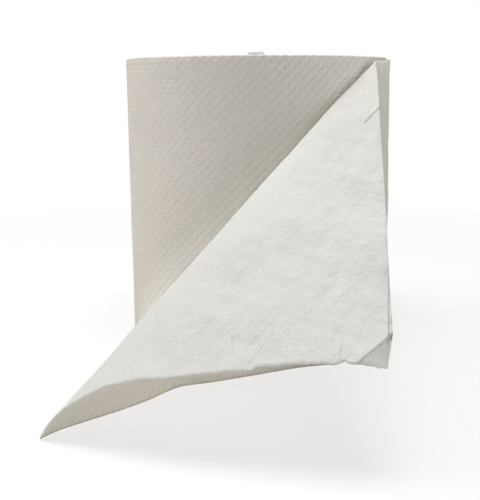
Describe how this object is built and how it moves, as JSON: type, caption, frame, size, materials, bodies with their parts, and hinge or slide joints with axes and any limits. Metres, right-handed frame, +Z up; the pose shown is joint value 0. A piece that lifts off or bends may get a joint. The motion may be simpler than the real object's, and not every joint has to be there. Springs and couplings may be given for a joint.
{
  "type": "paper towel roll",
  "caption": "Wound hand-towel roll on a cardboard core with a moulded core plug, standing on end with its loose free end folded over.",
  "frame": {"origin": "on the roll's axis at its lower end face, in the mouth of the core's bore", "axes": "+Z up along the roll's axis, -Y towards the viewer where the folded free end lies, +X to the viewer's right"},
  "size_m": [0.2174, 0.3639, 0.2143],
  "materials": {
    "paper_roll": "embossed",
    "core_tube": "matte",
    "core_plug": "matte",
    "loose_sheet": "embossed"
  },
  "bodies": {
    "root": {"paper_roll": "paper_roll", "core_tube": "core_tube", "core_plug": "core_plug", "loose_sheet": "loose_sheet"}
  },
  "joints": []
}
